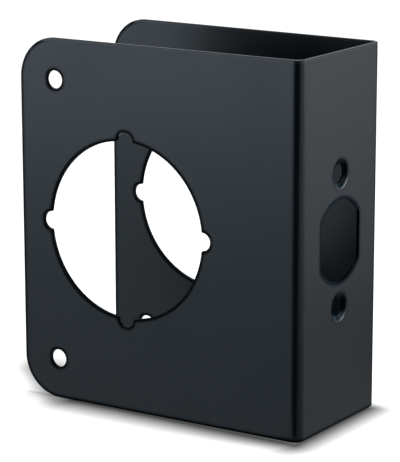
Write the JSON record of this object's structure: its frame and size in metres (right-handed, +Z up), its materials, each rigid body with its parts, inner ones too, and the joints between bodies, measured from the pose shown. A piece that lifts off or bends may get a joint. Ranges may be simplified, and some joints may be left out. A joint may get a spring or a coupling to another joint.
{
  "type": "door reinforcer",
  "caption": "Wrap-around door reinforcer: one sheet folded into a U, with a notched lock bore through both wings and a latch hole in the edge plate.",
  "frame": {"origin": "on the axis of the lock bore, midway between the two wings, so midway through the door's thickness and at the plate's mid height", "axes": "+X from the bore towards the edge plate, +Y from the front wing to the back wing along the bore's axis, +Z up along the door's edge"},
  "size_m": [0.0984, 0.0492, 0.1128],
  "materials": {
    "black_finish": "satin"
  },
  "bodies": {
    "root": {"wrap_plate": "black_finish"}
  },
  "joints": []
}
